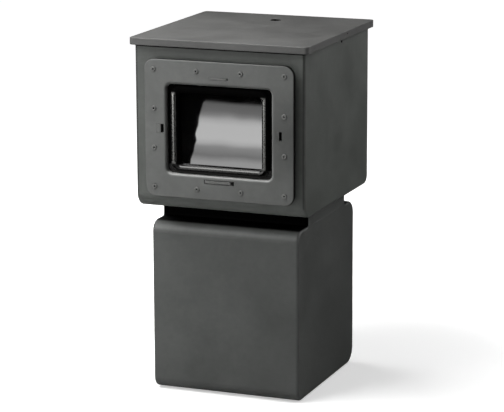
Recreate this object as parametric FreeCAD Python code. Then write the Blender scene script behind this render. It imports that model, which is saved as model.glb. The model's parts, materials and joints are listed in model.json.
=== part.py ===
"""Wood burning stove: a firebox with a hinged glass door, standing on a narrower pedestal.

Millimetres, +Z up. The origin is on the floor, under the middle of the stove. The door
faces -Y, and the flue leaves at the back, towards +Y. Every sub-part is one STEP file.
"""
import FreeCAD, Part
import math
import os

V = FreeCAD.Vector

# ---- driving dimensions ------------------------------------------------------------
TOTAL_HEIGHT = 1000.0
FOOT_GAP = 3.0              # feet lift the pedestal this far off the floor
SMALL = 0.3                 # gap left between faces that must not rub

BODY_WIDTH = 494.0          # upper body, which holds the fire
BODY_DEPTH = 520.0
BODY_Z0 = 528.0
BODY_WALL = 5.0
BODY_BEND_FRONT = 40.0      # bend radius of the bottom edge, front and back
BODY_BEND_REAR = 25.0
SIDE_EDGE_R = 7.0           # rounding where the flat sides meet the bent sheet

TOP_OVERHANG = 13.0         # top plate past the body: at the sides, at the front and back
TOP_OVERHANG_Y = 12.5
TOP_THICKNESS = 20.0
TOP_SKIN = 7.0              # thickness inside the rim
TOP_RIM = 25.0
TOP_CORNER_R = 12.0
TOP_EDGE_R = 1.6
TOP_HOLE_R = 15.0
TOP_HOLE_Y = 167.0
GRUB_R = 2.5                # set screws in the top plate's side edges
GRUB_Y = 43.0
GRUB_Z = 992.0
GRUB_LENGTH = 12.0
SIDE_SCREW_Y = 27.0         # screws through the body's sides into the brackets
SIDE_SCREW_Z = 973.0
SIDE_SCREW_R = 2.5
BRACKET_THICKNESS = 3.0
BRACKET_HALF_Y = 30.0
BRACKET_WIDTH = 18.0

PEDESTAL_WIDTH = 432.0
PEDESTAL_DEPTH = 458.0
PEDESTAL_TOP = 484.0
PEDESTAL_WALL = 4.0
PEDESTAL_BEND_TOP_FRONT = 32.0
PEDESTAL_BEND_TOP_REAR = 40.0
PEDESTAL_BEND_BASE_FRONT = 30.0
PEDESTAL_BEND_BASE_REAR = 45.0
NECK_DEPTH = 304.0
NECK_ROOT_R = 6.0           # hollow fillet where the neck meets the pedestal's top
NECK_FLANGE = 4.0
NECK_HOLE_MARGIN = 5.0      # the necks' holes are this much larger than the air box
NECK_BOLT_X = 170.0
NECK_BOLT_ROWS = (-110.0, 0.0, 110.0)
NECK_BOLT_R = 5.0
PANEL_HALF_X = 150.0        # rear panel of the pedestal
PANEL_Z0 = 190.0
PANEL_Z1 = 420.0
PANEL_LAP = 12.0
PANEL_THICKNESS = 2.0
PANEL_SCREW_R = 2.0
FOOT_X = 165.0
FOOT_Y = 160.0
FOOT_PAD_R = 18.0
FOOT_STUD_R = 5.0
FOOT_STUD_TOP = 30.0

AIR_R = 39.5                # takes an 80 mm air hose
AIR_Z = 100.0
AIR_HOLE_WAY = 43.0         # radius of the pedestal's hole round the intake pipe
AIR_PIPE_WALL = 1.5
AIR_DUCT_Y = 70.0
AIR_DUCT_BEND = 70.0
AIR_BOX_HALF_X = 120.0
AIR_BOX_HALF_Y = 130.0
AIR_BOX_Z0 = 512.0
AIR_BOX_WALL = 3.0
AIR_SLIDE_REST = 35.0       # the slide stands half open
SLIDE_THICKNESS = 3.0
SLIDE_HALF = 46.0           # half side of the square plate over the duct's mouth
STEM_HALF = 10.0
STEM_TRAVEL = 37.0
TAB_Y = -174.0

FIREBOX_HALF_X = 216.0
FIREBOX_WALL = 4.0
FIREBOX_REAR = 190.0
FIREBOX_Z0 = 584.0
FIREBOX_Z1 = 948.0
INSULATION_TOP = 955.0
AIR_HOLE_R = 9.0            # air holes in the firebox's base: radius, pitch, row offset
AIR_HOLE_PITCH = 50.0
AIR_HOLE_ROW = 60.0
BRICK = 25.0
BRICK_GAP = 1.0
BRICK_FRONT = -228.0
SIDE_BRICK_TOP = 900.0
REAR_BRICK_TOP = 772.0
SHELF_Z = 628.0
SHELF_THICKNESS = 4.0
BED_Z = 657.0               # top of the floor bricks
BAFFLE_ROD_Y = -95.0
BAFFLE_ROD_R = 6.0
BAFFLE_TILT = math.radians(19.0)
BAFFLE_LENGTH = 300.0
BAFFLE_THICKNESS = 20.0
LOG_GUARD_RISE = 12.0
ASH_HALF_X = 150.0
ASH_FRONT = -226.0
ASH_REAR = 60.0
ASH_WALL = 2.0
GRATE_HALF_X = 95.0
GRATE_FRONT = -150.0
GRATE_REAR = 40.0
GRATE_LIP = 6.0
GRATE_SLOTS = 6
GRATE_PITCH = 28.0
GRATE_SLOT_WIDTH = 11.0
GRATE_SLOT_END = 16.0

FLUE_Z = 862.0
FLUE_R = 75.5               # takes a 150 mm flue pipe
FLUE_WALL = 4.0
FLUE_END = 291.0
FLUE_FLANGE_R = 101.0
FLUE_FLANGE = 5.0
FLUE_SCREW_PCD = 182.0
FLUE_SCREW_R = 2.5

DOOR_X = 9.0                # the door sits a little to the latch side
DOOR_Z = 758.5
DOOR_WIDTH = 432.0
DOOR_HEIGHT = 380.0
DOOR_CORNER_R = 28.0
DOOR_EDGE_R = 3.0
DOOR_PLATE = 12.0
DOOR_STANDOFF = 16.0        # gap between the body's front and the back of the door plate
OPENING_HALF_X = 194.0      # hole in the body's front, behind the door
OPENING_HALF_Z = 168.0
OPENING_CORNER_R = 3.0
WINDOW_WIDTH = 303.0
WINDOW_HEIGHT = 245.0
WINDOW_CORNER_R = 14.0
WINDOW_LIP_R = 9.0
BOLT_COLUMNS = (-189.0, -64.0, 64.0, 189.0)
BOLT_ROWS = (-162.0, -54.0, 54.0, 162.0)
BOLT_R = 4.0
BOLT_HEAD_R = 7.0
BOLT_HEAD_H = 3.0
BOLT_GRIP = 7.0             # how far the door's bolts reach into the frame

FRAME_HALF_X = 206.0        # door frame behind the plate: outer and inner half sizes
FRAME_HALF_Z = 180.0
FRAME_CORNER_R = 22.0
FRAME_INNER_X = 180.0
FRAME_INNER_Z = 150.0
FRAME_INNER_R = 12.0
FRAME_THICKNESS = 12.0
SEAL_WIDTH = 7.0
SEAL_DEPTH = 3.0
SEAL_INSET = 1.5
SEAL_CORNER_R = 20.0

# What stands in the plate's four slots, from the door's centre: x0, x1, z0, z1, the open
# length of the slot at its right end, and the gap on the other three sides.
LUGS = {"left": (-182.0, -169.0, -11.5, 11.5, 8.5, 0.6),
        "right": (168.0, 174.6, -11.5, 11.5, 7.4, 0.6)}
BARS = {"lower": (-41.0, 34.0, -143.0, -136.0, 10.0, 2.0),
        "upper": (-26.0, 24.0, 142.0, 146.2, 4.5, 0.8)}
# The sliders' plates behind the slots: x0, x1, z0, z1.
SLIDER_PLATES = {"lower": (-62.0, 56.0, -149.5, -130.0), "upper": (-44.0, 38.0, 136.0, 149.5)}
SLIDER_THICKNESS = 3.0
LUG_PROUD = 0.8             # slider bars and lugs stand this far out of the door plate
LUG_CHAMFER = 0.5

FLANGE_HALF_X = 176.0       # flange of the window frame, against the door plate's back
FLANGE_HALF_Z = 149.7
FLANGE_CORNER_R = 16.0
FLANGE_THICKNESS = 8.0
EAR_HALF_Z = 14.0
BEAD_HALF_X = 132.0         # centre line of the round bead about the glass
BEAD_HALF_Z = 110.0
BEAD_R = 10.5
BEAD_CORNER_R = 20.0
FRAME_SCREW_X = 170.0       # screws that hold the window frame to the door plate
FRAME_SCREW_Z = 62.0
FRAME_SCREW_R = 2.5
GLASS_WIDTH = 290.0
GLASS_HEIGHT = 246.0
GLASS_THICKNESS = 4.0
GLASS_CORNER_R = 6.0
GASKET_THICKNESS = 1.0
GASKET_WIDTH = 14.0
CLAMP_HALF_X = 158.0
CLAMP_HALF_Z = 136.0
CLAMP_LAP = 12.0            # how far the clamp reaches over the pane's edge
CLAMP_SCREW_X = 151.5
CLAMP_SCREW_ROWS = (45.0, 129.5)
CLAMP_SCREW_R = 2.0

HINGE_X = -211.0            # from the door's centre
HINGE_Y = -270.0
HINGE_PIN_R = 3.0
HINGE_BARREL_R = 4.6
HINGE_ROWS = (-125.0, 125.0)
HINGE_LEAF = 5.0
HINGE_SCREW_R = 2.1
HINGE_SCREW_MARGIN = 8.0    # hinge screws stand this far past the barrel's ends
KNUCKLE = 22.0              # length of one barrel
KNUCKLE_GAP = 0.5
TURNING_CLEAR = 0.06        # radial play of the pins and of the latch's spindle

LATCH_X = 185.0             # from the door's centre
LATCH_Z = -108.0
LATCH_SPINDLE_R = 5.0
LATCH_NOSE_R = 3.5          # turned-down ends that carry the lever and the tongue
LATCH_BUSH_R = 8.0
LATCH_REAR = -246.0
LEVER_HUB_R = 9.0
LEVER_LENGTH = 28.0
TONGUE_HUB_R = 7.0
TONGUE_LENGTH = 23.0
LATCH_BAR_HALF = 5.0        # half width of the lever and of the tongue
TONGUE_Y0 = -252.5
TONGUE_Y1 = -248.5
POCKET_DEPTH = 7.0          # recess in the door frame for the lever

# ---- derived planes ----------------------------------------------------------------
BODY_TOP = TOTAL_HEIGHT - TOP_THICKNESS
BODY_HALF_X = BODY_WIDTH / 2
BODY_FRONT = -BODY_DEPTH / 2
BODY_REAR = BODY_DEPTH / 2
BODY_FRONT_IN = BODY_FRONT + BODY_WALL
TOP_HALF_X = BODY_HALF_X + TOP_OVERHANG
TOP_HALF_Y = BODY_DEPTH / 2 + TOP_OVERHANG_Y
PEDESTAL_HALF_X = PEDESTAL_WIDTH / 2
PEDESTAL_REAR = PEDESTAL_DEPTH / 2
NECK_FRONT = -NECK_DEPTH / 2
FOOT_PLACES = [(sx * FOOT_X, sy * FOOT_Y) for sx in (-1, 1) for sy in (-1, 1)]
SLIDE_Z0 = AIR_BOX_Z0 + AIR_BOX_WALL + SMALL
FIREBOX_IN_X = FIREBOX_HALF_X - FIREBOX_WALL
FIREBOX_BACK = FIREBOX_REAR - FIREBOX_WALL
FIREBOX_BASE = FIREBOX_Z0 + FIREBOX_WALL
SHELF_TOP = SHELF_Z + SHELF_THICKNESS
BRICK_OUT_X = FIREBOX_IN_X - BRICK_GAP
BRICK_IN_X = BRICK_OUT_X - BRICK
BRICK_REAR = FIREBOX_BACK - BRICK_GAP
FLOOR_BRICK_REAR = BRICK_REAR - BRICK - BRICK_GAP
BAFFLE_REAR = BRICK_REAR - 8
BAFFLE_ROD_Z = (REAR_BRICK_TOP + (BAFFLE_REAR - BAFFLE_ROD_Y) * math.tan(BAFFLE_TILT)
                - BAFFLE_ROD_R / math.cos(BAFFLE_TILT))
PLATE_BACK = BODY_FRONT - DOOR_STANDOFF
PLATE_FRONT = PLATE_BACK - DOOR_PLATE
FRAME_BACK = PLATE_BACK + FRAME_THICKNESS
FLANGE_BACK = PLATE_BACK + FLANGE_THICKNESS
GLASS_FRONT = FLANGE_BACK + GASKET_THICKNESS
GLASS_BACK = GLASS_FRONT + GLASS_THICKNESS
CLAMP_BACK = GLASS_BACK + 2
LEVER_Y0 = PLATE_BACK + 0.5
LEVER_Y1 = PLATE_BACK + 5.5


# ---- shape helpers -----------------------------------------------------------------
def box(x0, x1, y0, y1, z0, z1):
    return Part.makeBox(x1 - x0, y1 - y0, z1 - z0, V(x0, y0, z0))


def rod(radius, start, end):
    axis = V(*end) - V(*start)
    return Part.makeCylinder(radius, axis.Length, V(*start), axis)


def tube(outer, inner, start, end):
    return rod(outer, start, end).cut(rod(inner, start, end))


def corner_wire(corners, place):
    """A closed wire through (a, b, radius) corners. place turns (a, b) into a point."""
    edges = []
    count = len(corners)
    ends = []
    for i, (a, b, radius) in enumerate(corners):
        here = V(a, b, 0)
        before = V(*corners[i - 1][:2], 0) - here
        after = V(*corners[(i + 1) % count][:2], 0) - here
        half = before.getAngle(after) / 2
        before.normalize()
        after.normalize()
        if radius == 0:
            ends.append((here, here))
            continue
        reach = radius / math.tan(half)
        bisector = before + after
        bisector.normalize()
        middle = here + bisector * (radius / math.sin(half) - radius)
        first = here + before * reach
        last = here + after * reach
        edges.append(Part.Arc(place(first), place(middle), place(last)).toShape())
        ends.append((first, last))
    for i in range(count):
        start = ends[i - 1][1]
        end = ends[i][0]
        if (end - start).Length > 1e-6:
            edges.append(Part.LineSegment(place(start), place(end)).toShape())
    return Part.Wire(Part.__sortEdges__(edges))


def side_prism(corners, half_width):
    """A solid of constant side view. Corners are (y, z, radius)."""
    wire = corner_wire(corners, lambda p: V(-half_width, p.x, p.y))
    return Part.Face(wire).extrude(V(2 * half_width, 0, 0))


def front_slab(half_x, half_z, radius, y0, y1, cx=DOOR_X, cz=DOOR_Z):
    """A plate facing the front, with rounded corners, from y0 back to y1."""
    corners = [(cx - half_x, cz - half_z, radius), (cx + half_x, cz - half_z, radius),
               (cx + half_x, cz + half_z, radius), (cx - half_x, cz + half_z, radius)]
    wire = corner_wire(corners, lambda p: V(p.x, y0, p.y))
    return Part.Face(wire).extrude(V(0, y1 - y0, 0))


def floor_slab(half_x, half_y, radius, z0, z1):
    corners = [(-half_x, -half_y, radius), (half_x, -half_y, radius),
               (half_x, half_y, radius), (-half_x, half_y, radius)]
    wire = corner_wire(corners, lambda p: V(p.x, p.y, z0))
    return Part.Face(wire).extrude(V(0, 0, z1 - z0))


def door_box(x0, x1, y0, y1, z0, z1):
    """A box whose X and Z are measured from the middle of the door."""
    return box(DOOR_X + x0, DOOR_X + x1, y0, y1, DOOR_Z + z0, DOOR_Z + z1)


def door_rod(radius, x, z, y0, y1):
    return rod(radius, (DOOR_X + x, y0, DOOR_Z + z), (DOOR_X + x, y1, DOOR_Z + z))


def round_side_edges(solid, half_width, radius, open_z):
    """Rounds the edges that outline the two flat sides, except the flat one at open_z."""
    picked = []
    for edge in solid.Edges:
        bounds = edge.BoundBox
        on_side = abs(abs(bounds.XMin) - half_width) < 1e-3 and bounds.XLength < 1e-3
        at_open_end = abs(bounds.ZMin - open_z) < 1e-3 and bounds.ZLength < 1e-3
        if on_side and not at_open_end:
            picked.append(edge)
    return solid.makeFillet(radius, picked)


def front_edges(solid, y, half_x_limit):
    """Edges in the plane y, inside or outside a half width about the door's centre."""
    outer = []
    inner = []
    for edge in solid.Edges:
        bounds = edge.BoundBox
        if abs(bounds.YMin - y) > 1e-3 or bounds.YLength > 1e-3:
            continue
        reach = max(abs(bounds.XMin - DOOR_X), abs(bounds.XMax - DOOR_X))
        rise = max(abs(bounds.ZMin - DOOR_Z), abs(bounds.ZMax - DOOR_Z))
        if reach > half_x_limit or rise > half_x_limit:
            outer.append(edge)
        else:
            inner.append(edge)
    return outer, inner


def group(solids):
    return Part.makeCompound(solids)


def hex_prism(across, start, end):
    """A hexagonal prism with the given width across flats."""
    axis = V(*end) - V(*start)
    points = []
    for i in range(7):
        angle = math.radians(60 * i)
        corner_r = across / math.sqrt(3)
        points.append(V(corner_r * math.cos(angle), corner_r * math.sin(angle), 0))
    prism = Part.Face(Part.makePolygon(points)).extrude(V(0, 0, axis.Length))
    prism.Placement = FreeCAD.Placement(V(*start), FreeCAD.Rotation(V(0, 0, 1), axis))
    return prism


def socket_screw(head_r, head_h, shank_r, length, base, outward):
    """A low round-headed screw. base is on the clamped face, outward points off it."""
    out = V(*outward)
    foot = V(*base)
    head = Part.makeCylinder(head_r, head_h, foot, out)
    rim = [e for e in head.Edges if len(e.Vertexes) == 1 and (e.CenterOfMass - foot).Length > head_h / 2]
    head = head.makeFillet(head_h * 0.6, rim)
    shank = Part.makeCylinder(shank_r, length, foot - out * length, out)
    across = head_r * 0.7
    bottom = foot + out * (head_h * 0.2)
    top = foot + out * (head_h + 1)
    key = hex_prism(across, tuple(bottom), tuple(top))
    return head.fuse(shank).cut(key)


# ---- pedestal ----------------------------------------------------------------------
def pedestal_solid(inset):
    """The pedestal and its neck as one block, shrunk by inset all round."""
    front = -PEDESTAL_REAR + inset
    rear = PEDESTAL_REAR - inset
    neck = NECK_DEPTH / 2 - inset
    low = FOOT_GAP + inset
    high = PEDESTAL_TOP - inset
    corners = [(front, low, PEDESTAL_BEND_BASE_FRONT - inset),
               (rear, low, PEDESTAL_BEND_BASE_REAR - inset),
               (rear, high, PEDESTAL_BEND_TOP_REAR - inset),
               (neck, high, NECK_ROOT_R + inset),
               (neck, BODY_Z0, 0),
               (-neck, BODY_Z0, 0),
               (-neck, high, NECK_ROOT_R + inset),
               (front, high, PEDESTAL_BEND_TOP_FRONT - inset)]
    half_x = PEDESTAL_HALF_X - inset
    solid = side_prism(corners, half_x)
    return round_side_edges(solid, half_x, SIDE_EDGE_R - inset, BODY_Z0)


def neck_bolt_places():
    return [(side * NECK_BOLT_X, row) for side in (-1, 1) for row in NECK_BOLT_ROWS]


def panel_screw_places():
    inset = PANEL_LAP / 2
    return [(side * (PANEL_HALF_X - inset), z) for side in (-1, 1)
            for z in (PANEL_Z0 + inset, PANEL_Z1 - inset)]


def slide_slot(y0, y1):
    """The slot in a front wall that the air slider's stem runs in."""
    reach = STEM_HALF + STEM_TRAVEL
    return box(AIR_SLIDE_REST - reach, AIR_SLIDE_REST + reach,
               y0, y1, SLIDE_Z0 - 3, SLIDE_Z0 + SLIDE_THICKNESS + 3)


def pedestal_sheet():
    """The skin of the pedestal and its neck, with every hole."""
    hollow = pedestal_solid(PEDESTAL_WALL)
    hollow = hollow.common(box(-300, 300, -300, 300, 0, BODY_Z0 - NECK_FLANGE))
    shell = pedestal_solid(0).cut(hollow)
    half_x = AIR_BOX_HALF_X + NECK_HOLE_MARGIN
    half_y = AIR_BOX_HALF_Y + NECK_HOLE_MARGIN
    cuts = [box(-half_x, half_x, -half_y, half_y, BODY_Z0 - 10, BODY_Z0 + 1)]
    for x, y in neck_bolt_places():
        cuts.append(rod(NECK_BOLT_R + 0.5, (x, y, BODY_Z0 - 10), (x, y, BODY_Z0 + 1)))
    for x, y in FOOT_PLACES:
        cuts.append(rod(FOOT_STUD_R, (x, y, 0), (x, y, 20)))
    cuts.append(slide_slot(NECK_FRONT - 1, NECK_FRONT + 10))
    cuts.append(rod(AIR_HOLE_WAY, (0, PEDESTAL_REAR - 20, AIR_Z), (0, PEDESTAL_REAR + 1, AIR_Z)))
    window_x = PANEL_HALF_X - PANEL_LAP
    cuts.append(box(-window_x, window_x, PEDESTAL_REAR - 20, PEDESTAL_REAR + 1,
                    PANEL_Z0 + PANEL_LAP, PANEL_Z1 - PANEL_LAP))
    for x, z in panel_screw_places():
        cuts.append(rod(PANEL_SCREW_R, (x, PEDESTAL_REAR - 20, z), (x, PEDESTAL_REAR + 1, z)))
    return shell.cut(group(cuts))


def pedestal_plates(seam_x):
    """Boxes that part the pedestal's skin below the neck into flat plates and bent strips."""
    front = -PEDESTAL_REAR - 1
    rear = PEDESTAL_REAR + 1
    top = PEDESTAL_TOP + NECK_ROOT_R
    front_low = FOOT_GAP + PEDESTAL_BEND_BASE_FRONT
    front_high = PEDESTAL_TOP - PEDESTAL_BEND_TOP_FRONT
    rear_low = FOOT_GAP + PEDESTAL_BEND_BASE_REAR
    rear_high = PEDESTAL_TOP - PEDESTAL_BEND_TOP_REAR
    base_front = PEDESTAL_BEND_BASE_FRONT - PEDESTAL_REAR
    base_rear = PEDESTAL_REAR - PEDESTAL_BEND_BASE_REAR
    top_front = PEDESTAL_BEND_TOP_FRONT - PEDESTAL_REAR
    top_rear = PEDESTAL_REAR - PEDESTAL_BEND_TOP_REAR
    window_x = PANEL_HALF_X - PANEL_LAP
    window_low = PANEL_Z0 + PANEL_LAP
    window_high = PANEL_Z1 - PANEL_LAP
    way = AIR_HOLE_WAY * math.sqrt(0.5)
    return [box(-seam_x, seam_x, front, 0, front_low, front_high),
            box(-seam_x, seam_x, front, base_front, 0, front_low),
            box(-seam_x, seam_x, front, top_front, front_high, top),
            box(-seam_x, seam_x, top_front, 0, front_high, top),
            box(-seam_x, seam_x, base_front, base_rear, 0, front_low),
            box(-seam_x, seam_x, base_rear, rear, 0, rear_low),
            box(-seam_x, -window_x, 0, rear, rear_low, rear_high),
            box(window_x, seam_x, 0, rear, rear_low, rear_high),
            box(-window_x, window_x, 0, rear, window_high, rear_high),
            box(-window_x, window_x, 0, rear, AIR_Z + way, window_low),
            box(-window_x, window_x, 0, rear, rear_low, AIR_Z - way),
            box(-window_x, -way, 0, rear, AIR_Z - way, AIR_Z + way),
            box(way, window_x, 0, rear, AIR_Z - way, AIR_Z + way),
            box(-seam_x, seam_x, 0, top_rear, rear_high, top),
            box(-seam_x, seam_x, top_rear, rear, rear_high, top)]


def neck_plates(seam_x):
    """Boxes that part the neck into four walls, the front one about its slot, and a flange."""
    front = NECK_FRONT - 1
    rear = -front
    low = PEDESTAL_TOP + NECK_ROOT_R
    high = BODY_Z0 - NECK_FLANGE
    top = BODY_Z0 + 1
    slot = slide_slot(front, rear).BoundBox
    half_x = AIR_BOX_HALF_X + NECK_HOLE_MARGIN
    half_y = AIR_BOX_HALF_Y + NECK_HOLE_MARGIN
    return [box(-seam_x, seam_x, front, 0, low, slot.ZMin),
            box(-seam_x, slot.XMin, front, 0, slot.ZMin, slot.ZMax),
            box(slot.XMax, seam_x, front, 0, slot.ZMin, slot.ZMax),
            box(-seam_x, seam_x, front, 0, slot.ZMax, high),
            box(-seam_x, seam_x, 0, rear, low, high),
            box(-seam_x, -half_x, front, rear, high, top),
            box(half_x, seam_x, front, rear, high, top),
            box(-half_x, half_x, front, 0, high, top),
            box(-half_x, half_x, 0, rear, high, top)]


def pedestal_shell():
    """Pressed sides below and above the shoulder, with plates and bent strips between, welded."""
    sheet = pedestal_sheet()
    seam_x = PEDESTAL_HALF_X - SIDE_EDGE_R
    edge_x = PEDESTAL_HALF_X + 1
    reach = PEDESTAL_REAR + 1
    pieces = pedestal_plates(seam_x) + neck_plates(seam_x)
    for low, high in ((0, PEDESTAL_TOP), (PEDESTAL_TOP, BODY_Z0 + 1)):
        pieces.append(box(-edge_x, -seam_x, -reach, reach, low, high))
        pieces.append(box(seam_x, edge_x, -reach, reach, low, high))
    return group([solid for piece in pieces for solid in sheet.common(piece).Solids])


def pedestal_rear_panel():
    corners = [(-PANEL_HALF_X, PANEL_Z0, 8), (PANEL_HALF_X, PANEL_Z0, 8),
               (PANEL_HALF_X, PANEL_Z1, 8), (-PANEL_HALF_X, PANEL_Z1, 8)]
    wire = corner_wire(corners, lambda p: V(p.x, PEDESTAL_REAR, p.y))
    panel = Part.Face(wire).extrude(V(0, PANEL_THICKNESS, 0))
    for x, z in panel_screw_places():
        panel = panel.cut(rod(PANEL_SCREW_R + 0.2, (x, PEDESTAL_REAR - 1, z), (x, PEDESTAL_REAR + 5, z)))
    return panel


def pedestal_panel_screws():
    base_y = PEDESTAL_REAR + PANEL_THICKNESS
    return group([socket_screw(4.5, 2.6, PANEL_SCREW_R, 6.0, (x, base_y, z), (0, 1, 0))
                  for x, z in panel_screw_places()])


def foot(x, y):
    """A levelling foot: a stud through the pedestal's base, on a round pad."""
    pad = rod(FOOT_PAD_R, (x, y, 0), (x, y, FOOT_GAP))
    stud = rod(FOOT_STUD_R, (x, y, FOOT_GAP), (x, y, FOOT_STUD_TOP))
    nut = hex_prism(17, (x, y, FOOT_GAP + PEDESTAL_WALL), (x, y, FOOT_GAP + PEDESTAL_WALL + 8))
    return pad.fuse([stud, nut])


# ---- combustion air ----------------------------------------------------------------
def air_intake_collar():
    face = PEDESTAL_REAR
    pipe = tube(AIR_R, AIR_R - AIR_PIPE_WALL, (0, face - 26, AIR_Z), (0, face + 30, AIR_Z))
    ring = tube(AIR_R + 16, AIR_R - 0.5, (0, face, AIR_Z), (0, face + 2.5, AIR_Z))
    return pipe.fuse(ring)


def duct_path(bend):
    """Up from the intake collar, round one bend, to the air box."""
    low = [V(0, PEDESTAL_REAR - 8, AIR_Z), V(0, AIR_DUCT_Y + bend, AIR_Z)]
    high = [V(0, AIR_DUCT_Y, AIR_Z + bend), V(0, AIR_DUCT_Y, AIR_BOX_Z0 - 2)]
    turn = V(0, AIR_DUCT_Y + bend * (1 - math.sqrt(0.5)), AIR_Z + bend * (1 - math.sqrt(0.5)))
    edges = [Part.LineSegment(*low).toShape(), Part.Arc(low[1], turn, high[0]).toShape(),
             Part.LineSegment(*high).toShape()]
    return Part.Wire(edges)


def air_duct():
    path = duct_path(AIR_DUCT_BEND)
    pipes = []
    for radius in (AIR_R + 3.0, AIR_R + 0.5):
        ring = Part.Wire(Part.makeCircle(radius, V(0, PEDESTAL_REAR - 8, AIR_Z), V(0, 1, 0)))
        pipes.append(path.makePipeShell([ring], True, True))
    return pipes[0].cut(pipes[1])


def air_box():
    """Sheet box in the neck. It takes the duct below and feeds the firebox above."""
    half_x = AIR_BOX_HALF_X
    half_y = AIR_BOX_HALF_Y
    wall = AIR_BOX_WALL
    outer = box(-half_x, half_x, -half_y, half_y, AIR_BOX_Z0, FIREBOX_Z0)
    inner = box(wall - half_x, half_x - wall, wall - half_y, half_y - wall,
                AIR_BOX_Z0 + wall, FIREBOX_Z0 + 1)
    shell = outer.cut(inner)
    inlet = (0, AIR_DUCT_Y, AIR_BOX_Z0 - 20)
    spigot = rod(AIR_R, inlet, (0, AIR_DUCT_Y, AIR_BOX_Z0 + wall))
    bore = rod(AIR_R - AIR_PIPE_WALL, (0, AIR_DUCT_Y, AIR_BOX_Z0 - 21),
               (0, AIR_DUCT_Y, AIR_BOX_Z0 + wall + 1))
    shell = shell.fuse(spigot).cut(bore)
    return shell.cut(slide_slot(-half_y - 1, -half_y + wall + 1))


def air_slide_plate():
    """Plate over the duct's mouth. Its stem ends in a turned-up tab under the body."""
    top = SLIDE_Z0 + SLIDE_THICKNESS
    x = AIR_SLIDE_REST
    plate = box(x - SLIDE_HALF, x + SLIDE_HALF, AIR_DUCT_Y - SLIDE_HALF, AIR_DUCT_Y + SLIDE_HALF,
                SLIDE_Z0, top)
    stem = box(x - STEM_HALF, x + STEM_HALF, TAB_Y, AIR_DUCT_Y - SLIDE_HALF, SLIDE_Z0, top)
    tab = box(x - STEM_HALF, x + STEM_HALF, TAB_Y, TAB_Y + SLIDE_THICKNESS, SLIDE_Z0, BODY_Z0 - 3)
    return plate.fuse([stem, tab]).removeSplitter()


# ---- upper body --------------------------------------------------------------------
def body_solid(inset):
    front = BODY_FRONT + inset
    rear = BODY_REAR - inset
    low = BODY_Z0 + inset
    corners = [(front, low, BODY_BEND_FRONT - inset), (rear, low, BODY_BEND_REAR - inset),
               (rear, BODY_TOP, 0), (front, BODY_TOP, 0)]
    half_x = BODY_HALF_X - inset
    return round_side_edges(side_prism(corners, half_x), half_x, SIDE_EDGE_R - inset, BODY_TOP)


def flue_screw_places():
    radius = FLUE_SCREW_PCD / 2
    angles = [math.radians(45 + 90 * i) for i in range(4)]
    return [(radius * math.cos(a), FLUE_Z + radius * math.sin(a)) for a in angles]


def body_sheet():
    """The body's skin with every hole, open at the top."""
    sheet = body_solid(0).cut(body_solid(BODY_WALL))
    half_x = AIR_BOX_HALF_X + NECK_HOLE_MARGIN
    half_y = AIR_BOX_HALF_Y + NECK_HOLE_MARGIN
    cuts = [box(-half_x, half_x, -half_y, half_y, BODY_Z0 - 1, BODY_Z0 + BODY_WALL + 1)]
    cuts.append(front_slab(OPENING_HALF_X, OPENING_HALF_Z, OPENING_CORNER_R,
                           BODY_FRONT - 1, BODY_FRONT_IN + 1))
    for x, y in neck_bolt_places():
        cuts.append(rod(NECK_BOLT_R + 0.5, (x, y, BODY_Z0 - 1), (x, y, BODY_Z0 + 10)))
    cuts.append(rod(FLUE_R + FLUE_WALL + 1, (0, BODY_REAR - 10, FLUE_Z), (0, BODY_REAR + 1, FLUE_Z)))
    for x, z in flue_screw_places():
        cuts.append(rod(FLUE_SCREW_R, (x, BODY_REAR - 10, z), (x, BODY_REAR + 1, z)))
    cuts.append(rod(SIDE_SCREW_R + 0.2, (-BODY_HALF_X - 1, SIDE_SCREW_Y, SIDE_SCREW_Z),
                    (BODY_HALF_X + 1, SIDE_SCREW_Y, SIDE_SCREW_Z)))
    for x, z in hinge_screw_places():
        cuts.append(rod(2.5, (x, BODY_FRONT - 1, z), (x, BODY_FRONT + 10, z)))
    return sheet.cut(group(cuts))


def body_shell():
    """Two pressed sides, four flat front bars, rear and base panels, two bent strips, welded."""
    sheet = body_sheet()
    seam_x = BODY_HALF_X - SIDE_EDGE_R
    edge_x = BODY_HALF_X + 1
    front = BODY_FRONT - 1
    rear = BODY_REAR + 1
    front_bend = BODY_FRONT + BODY_BEND_FRONT
    rear_bend = BODY_REAR - BODY_BEND_REAR
    low = BODY_Z0 - 1
    front_seam = BODY_Z0 + BODY_BEND_FRONT
    rear_seam = BODY_Z0 + BODY_BEND_REAR
    left_bar = DOOR_X - OPENING_HALF_X
    right_bar = DOOR_X + OPENING_HALF_X
    pieces = [box(-edge_x, -seam_x, front, rear, low, BODY_TOP),
              box(seam_x, edge_x, front, rear, low, BODY_TOP),
              box(-seam_x, left_bar, front, 0, front_seam, BODY_TOP),
              box(right_bar, seam_x, front, 0, front_seam, BODY_TOP),
              box(left_bar, right_bar, front, 0, front_seam, DOOR_Z),
              box(left_bar, right_bar, front, 0, DOOR_Z, BODY_TOP),
              box(-seam_x, seam_x, front, front_bend, low, front_seam),
              box(-seam_x, seam_x, front_bend, rear_bend, low, front_seam),
              box(-seam_x, seam_x, rear_bend, rear, low, rear_seam),
              box(-seam_x, seam_x, 0, rear, rear_seam, BODY_TOP)]
    return group([solid for piece in pieces for solid in sheet.common(piece).Solids])


def neck_bolts():
    top = BODY_Z0 + BODY_WALL
    return group([socket_screw(9, 6, NECK_BOLT_R, 19, (x, y, top), (0, 0, 1))
                  for x, y in neck_bolt_places()])


def neck_nuts():
    nuts = []
    for x, y in neck_bolt_places():
        top = BODY_Z0 - NECK_FLANGE
        nut = hex_prism(17, (x, y, top - 8), (x, y, top))
        nuts.append(nut.cut(rod(NECK_BOLT_R, (x, y, top - 9), (x, y, top + 1))))
    return group(nuts)


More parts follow.
